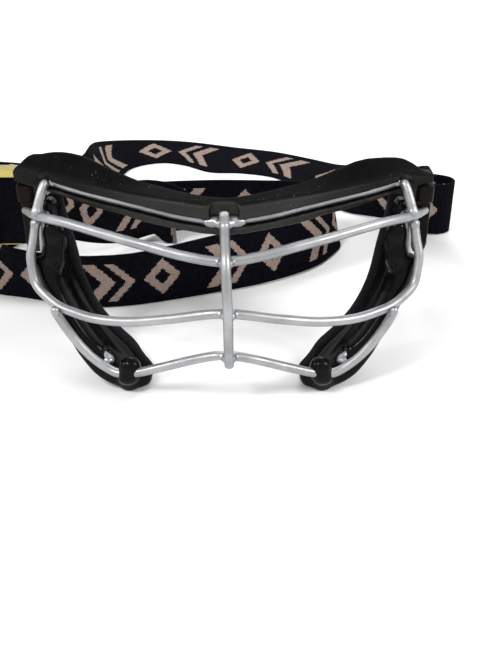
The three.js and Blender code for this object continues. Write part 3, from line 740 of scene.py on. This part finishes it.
def shape_wings(brow):
    """Lifts the left wing's top edge and lowers the right tip, as on a worn pair."""
    # Each change grows from the first to the second height, or place across the face.
    lifted = (CREASE_Z - 0.001, CREASE_Z + 0.004)
    lowered = (CREASE_Z - 0.006, CREASE_Z + 0.001)
    left_wing = (-0.046, -0.068)
    left_tip = (-0.074, -0.083)
    left_end = (-0.075, -0.084)
    right_tip = (0.072, 0.086)
    wing_lift = 0.0023
    tip_lift = 0.0030
    tip_drop = 0.0034
    end_reach = 0.0013
    for vertex in brow.data.vertices:
        spot = vertex.co
        above = smooth_step(*lifted, spot.z)
        spot.z += wing_lift * above * smooth_step(*left_wing, spot.x)
        spot.z += tip_lift * above * smooth_step(*left_tip, spot.x)
        spot.z -= (tip_drop * smooth_step(*lowered, spot.z)
                   * smooth_step(*right_tip, spot.x))
        spot.x -= end_reach * smooth_step(*left_end, spot.x)


def trim_bracket(bracket):
    """Slopes the lower front corner up, and keeps the right one's top under the brow."""
    corner_rise = 0.0175
    top_drop = 0.0042
    low = place((0, 0, 43.8)).z
    top = place((0, 0, 80)).z
    front = place((0, 33, 0)).y
    slot = place((0, 46, 0)).y
    under_brow = (place((0, 0, 79)).z, place((0, 0, 86)).z)
    right_half = (0.0, 0.07)
    for vertex in bracket.data.vertices:
        spot = vertex.co
        rise = corner_rise * min(1.0, max(0.0, (slot - spot.y) / (slot - front)))
        spot.z += rise * min(1.0, max(0.0, (top - spot.z) / (top - low)))
        spot.z -= (top_drop * smooth_step(*under_brow, spot.z)
                   * smooth_step(*right_half, spot.x))


def mark_front(brow):
    """Stores which skin of the brow faces forward below its crease, for the painted light and
    lower roughness of its finish.
    """
    turned_forward = (0.35, 0.75)
    below_crease = (CREASE_Z + 0.0012, CREASE_Z - 0.0004)
    wing = (0.025, 0.065)
    wing_fade = 0.75
    bm = bmesh.new()
    bm.from_mesh(brow.data)
    bm.normal_update()
    facing = [
        smooth_step(*turned_forward, -v.normal.y)
        * smooth_step(*below_crease, v.co.z)
        * (1.0 - wing_fade * smooth_step(*wing, abs(v.co.x)))
        for v in bm.verts]
    bm.free()
    values = brow.data.attributes.new("painted_light_band", "FLOAT", "POINT").data
    values.foreach_set("value", facing)


def mark_edges(brow):
    """Stores how strongly the skin turns outward at each point, for the painted rim highlight on
    its edges.
    """
    blunt = 0.042
    sharp = 0.12
    rounds = 3
    bm = bmesh.new()
    bm.from_mesh(brow.data)
    bm.normal_update()
    turns = []
    for v in bm.verts:
        near = [e.other_vert(v) for e in v.link_edges]
        bend = sum((v.co - n.co).normalized().dot(v.normal) for n in near) / max(1, len(near))
        turns.append(bend)
    links = [[e.other_vert(v).index for e in v.link_edges] for v in bm.verts]
    bm.free()
    for _ in range(rounds):
        turns = [(turn + sum(turns[i] for i in near)) / (1 + len(near))
                 for turn, near in zip(turns, links)]
    values = brow.data.attributes.new("edge", "FLOAT", "POINT").data
    values.foreach_set("value", [smooth_step(blunt, sharp, turn) for turn in turns])


def add_camera(scene):
    camera = bpy.data.cameras.new("camera")
    camera.sensor_fit = "VERTICAL"
    camera.sensor_height = 36.0
    camera.lens = CAMERA_LENS
    camera.clip_start = 0.01
    camera.clip_end = 20.0
    viewer = bpy.data.objects.new("camera", camera)
    viewer.location = place(CAMERA_SPOT)
    viewer.rotation_euler = (math.radians(CAMERA_TILT), 0.0, 0.0)
    scene.collection.objects.link(viewer)
    scene.camera = viewer


def add_floor(scene):
    bm = bmesh.new()
    bmesh.ops.create_grid(bm, x_segments=1, y_segments=1, size=3.0)
    bmesh.ops.translate(bm, verts=bm.verts, vec=(0.0, 1.0, FLOOR_Z))
    mesh = bpy.data.meshes.new("floor")
    bm.to_mesh(mesh)
    bm.free()
    floor = bpy.data.objects.new("floor", mesh)
    scene.collection.objects.link(floor)
    mesh.materials.append(Finish("pale_floor", (0.93, 0.93, 0.93), 0.9, gloss=0.1).material)


def add_world(scene):
    """A white room, whose light on the pieces is weaker than the white that is seen."""
    world = bpy.data.worlds.new("studio")
    world.use_nodes = True
    nodes = world.node_tree.nodes
    links = world.node_tree.links
    background = nodes["Background"]
    background.inputs["Color"].default_value = (1.0, 1.0, 1.0, 1.0)
    rays = nodes.new("ShaderNodeLightPath")
    seen = nodes.new("ShaderNodeMath")
    seen.operation = "MAXIMUM"
    links.new(rays.outputs["Is Camera Ray"], seen.inputs[0])
    links.new(rays.outputs["Is Glossy Ray"], seen.inputs[1])
    strength = nodes.new("ShaderNodeMapRange")
    strength.inputs["To Min"].default_value = ROOM_LIGHT
    strength.inputs["To Max"].default_value = 1.0
    links.new(seen.outputs["Value"], strength.inputs["Value"])
    links.new(strength.outputs["Result"], background.inputs["Strength"])
    scene.world = world


def add_lamps(scene):
    for name, spot, aim, size, watts in LAMPS:
        lamp = bpy.data.lights.new(name, "AREA")
        lamp.size = size
        lamp.energy = watts
        holder = bpy.data.objects.new(name, lamp)
        holder.location = spot
        way = Vector(aim) - Vector(spot)
        holder.rotation_euler = way.to_track_quat("-Z", "Y").to_euler()
        scene.collection.objects.link(holder)


class GOGGLES_OT_stage(bpy.types.Operator):
    """Adds the camera, the pale floor, the world and the studio lights"""
    bl_idname = "goggles.stage"
    bl_label = "Add Stage"

    def execute(self, context):
        add_camera(context.scene)
        add_floor(context.scene)
        add_world(context.scene)
        add_lamps(context.scene)
        context.scene.view_settings.view_transform = "Standard"
        return {"FINISHED"}


class GOGGLES_OT_wires(bpy.types.Operator):
    """Bends the cage wires and fuses their welds"""
    bl_idname = "goggles.wires"
    bl_label = "Add Wire Cage"

    def execute(self, context):
        steel = steel_finish()
        wire_piece("brow_wire", mirrored(BROW_HALF),
                   BROW_WELDS + end_welds(BROW_HALF, *BROW_END), steel)
        wire_piece("eye_wire", mirrored(EYE_HALF), EYE_WELDS, steel,
                   ends=(0.8, 0.8), round_ends=True)
        wire_piece("lower_wire", mirrored(LOWER_HALF),
                   LOWER_WELDS + end_welds(LOWER_HALF, *LOWER_END), steel)
        wire_piece("bottom_wire", mirrored(BOTTOM_HALF),
                   BOTTOM_WELDS + end_welds(BOTTOM_HALF, *BOTTOM_END), steel,
                   round_ends=True)
        wire_piece("centre_bar", BAR, [], steel)
        feet = end_welds(UPRIGHT, *UPRIGHT_END)
        for (side, sign), foot in zip(BOTH_SIDES, feet):
            wire_piece(f"side_upright_{side}", [sided(point, sign) for point in UPRIGHT],
                       [foot], steel, ends=(0.96, 1.06))
            wire_piece(f"side_wire_{side}", [sided(point, sign) for point in SIDE],
                       [(sided(centre, sign), radii) for centre, radii in SIDE_WELDS],
                       steel, round_ends=True)
        return {"FINISHED"}


class GOGGLES_OT_brow(bpy.types.Operator):
    """Adds the moulded brow and the cushion behind it"""
    bl_idname = "goggles.brow"
    bl_label = "Add Brow"

    def execute(self, context):
        brow = rounded_copy(
            "brow_moulding", "moulding", moulding_finish(),
            lumps=[sided_lump(BROW_NOTCH, sign) for _, sign in BOTH_SIDES])
        shape_wings(brow)
        mark_front(brow)
        mark_edges(brow)
        foam_cushion("brow_cushion", "brow_foam", foam_finish())
        return {"FINISHED"}


class GOGGLES_OT_pads(bpy.types.Operator):
    """Adds the rubber side pads and their cheek cushions"""
    bl_idname = "goggles.pads"
    bl_label = "Add Side Pads"

    def execute(self, context):
        rubber = rubber_finish()
        foam = bpy.data.materials.get("cloth_foam") or foam_finish()
        channel = [
            ("ball", (spot.x, spot.y + CHANNEL_SHIFT, spot.z), CHANNEL_BEAD)
            for spot, _ in smooth_route(CHANNEL, steps=6)[:-CHANNEL_STOP]]
        for side, sign in BOTH_SIDES:
            pad = rounded_copy(
                f"side_pad_{side}", "pad", rubber,
                lumps=[sided_lump(lump, sign) for lump in PAD_LUMPS + channel])
            swell(pad, PAD_GAIN)
            soften(pad, rounds=3)
            for vertex in pad.data.vertices:
                vertex.co.z = max(vertex.co.z, FLOOR_Z)
            foam_cushion(f"cheek_cushion_{side}", "cheek_foam", foam)
        return {"FINISHED"}


class GOGGLES_OT_brackets(bpy.types.Operator):
    """Adds the temple brackets that hold the strap"""
    bl_idname = "goggles.brackets"
    bl_label = "Add Temple Brackets"

    def execute(self, context):
        dark = bracket_finish()
        for side, _ in BOTH_SIDES:
            trim_bracket(rounded_copy(f"temple_bracket_{side}", "bracket", dark))
        return {"FINISHED"}


def near_stations(stations, at, reach):
    return stations[max(0, at - reach):at + reach + 1]


def strap_edges(route, width, thickness):
    """The strap's lower and upper edge at each station, with no corner below the bench."""
    edges = []
    for at, (point, lean) in enumerate(route):
        reach = 1 + round(EVEN_TURNS * min(1.0, abs(lean) / FULL_LEAN))
        near = near_stations(route, at, reach)
        tangent = (near[-1][0] - near[0][0]).normalized()
        beside = Vector((0, 0, 1)).cross(tangent).normalized()
        tilt = math.radians(lean)
        rise = Vector((0, 0, math.cos(tilt))) + beside * math.sin(tilt)
        rise = (rise - tangent * rise.dot(tangent)).normalized()
        wall = rise.cross(tangent).normalized() * (thickness / 2)
        corners = [point + s * wall + r * width * rise for s in (-1, 1) for r in (0, 1)]
        lift = max(0.0, -min(corner.z for corner in corners))
        low = point + Vector((0, 0, lift))
        edges.append((low, low + rise * width))
    evened = []
    for at, (_, lean) in enumerate(route):
        reach = round(EVEN_EDGE * min(1.0, abs(lean) / FULL_LEAN))
        near = near_stations(edges, at, reach)
        evened.append((edges[at][0], sum((high for _, high in near), Vector()) / len(near)))
    return evened


def strap_mesh(route, width, thickness):
    """A grid of faces between the strap's edges, with its weave's UV map."""
    bm = bmesh.new()
    bm.loops.layers.uv.new("weave")
    bmesh.ops.create_grid(
        bm, x_segments=len(route) - 1, y_segments=STRAP_ROWS, size=0.5, calc_uvs=True)
    edges = strap_edges(route, width, thickness)
    for vertex in bm.verts:
        low, high = edges[round((vertex.co.x + 0.5) * (len(route) - 1))]
        spot = low.lerp(high, vertex.co.y + 0.5)
        spot.z = max(spot.z, thickness / 2)
        vertex.co = place(spot)
    for face in bm.faces:
        face.smooth = True
    mesh = bpy.data.meshes.new("strap")
    bm.to_mesh(mesh)
    bm.free()
    return mesh


class GOGGLES_OT_strap(bpy.types.Operator):
    """Weaves the strap along its route"""
    bl_idname = "goggles.strap"
    bl_label = "Add Strap"

    def execute(self, context):
        width = sizes().strap_width / MM
        thickness = sizes().strap_thickness / MM
        route, length = even_route(smooth_route(STRAP + TAIL, steps=24), STRAP_STEP)
        mesh = strap_mesh(route, width, thickness)
        piece = new_piece("strap_dressed", mesh, webbing_finish(length * MM))
        solid = piece.modifiers.new("Thickness", "SOLIDIFY")
        solid.thickness = thickness * MM
        solid.offset = 0.0
        edge = piece.modifiers.new("Selvedge", "BEVEL")
        edge.width = 0.0003
        edge.segments = 2
        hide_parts("strap")
        return {"FINISHED"}


class GOGGLES_OT_slider(bpy.types.Operator):
    """Adds the gold-coloured slider on the strap"""
    bl_idname = "goggles.slider"
    bl_label = "Add Slider"

    def execute(self, context):
        bm = solid_copy("strap_slider")
        bmesh.ops.dissolve_limit(
            bm, angle_limit=math.radians(1.0), verts=bm.verts, edges=bm.edges)
        for face in bm.faces:
            face.smooth = True
        mesh = bpy.data.meshes.new("strap_slider")
        bm.to_mesh(mesh)
        bm.free()
        piece = new_piece("strap_slider_dressed", mesh, slider_finish(), "slider")
        edge = piece.modifiers.new("Rounded edges", "BEVEL")
        edge.width = 0.0004
        edge.segments = 4
        edge.limit_method = "ANGLE"
        edge.angle_limit = math.radians(30.0)
        edge.harden_normals = True
        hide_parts("strap_slider")
        return {"FINISHED"}


class GOGGLES_PT_panel(bpy.types.Panel):
    """Lists the goggles' pieces, sizes and colours"""
    bl_label = "Lacrosse Goggles"
    bl_idname = "GOGGLES_PT_panel"
    bl_space_type = "VIEW_3D"
    bl_region_type = "UI"
    bl_category = "Goggles"

    def draw(self, context):
        for operator in OPERATORS:
            self.layout.operator(operator.bl_idname)
        for group in (context.scene.goggles_sizes, context.scene.goggles_colours):
            for name in group.bl_rna.properties.keys():
                if name not in {"rna_type", "name"}:
                    self.layout.prop(group, name)


OPERATORS = (
    GOGGLES_OT_stage, GOGGLES_OT_wires, GOGGLES_OT_brow, GOGGLES_OT_pads,
    GOGGLES_OT_brackets, GOGGLES_OT_strap, GOGGLES_OT_slider,
)
CLASSES = (GogglesSizes, GogglesColours, *OPERATORS, GOGGLES_PT_panel)


def register():
    for cls in CLASSES:
        bpy.utils.register_class(cls)
    bpy.types.Scene.goggles_sizes = PointerProperty(type=GogglesSizes)
    bpy.types.Scene.goggles_colours = PointerProperty(type=GogglesColours)


def unregister():
    del bpy.types.Scene.goggles_colours
    del bpy.types.Scene.goggles_sizes
    for cls in reversed(CLASSES):
        bpy.utils.unregister_class(cls)


def main():
    register()
    bpy.ops.goggles.stage()
    bpy.ops.goggles.wires()
    bpy.ops.goggles.brow()
    bpy.ops.goggles.pads()
    bpy.ops.goggles.brackets()
    bpy.ops.goggles.strap()
    bpy.ops.goggles.slider()


if __name__ == "__main__":
    main()
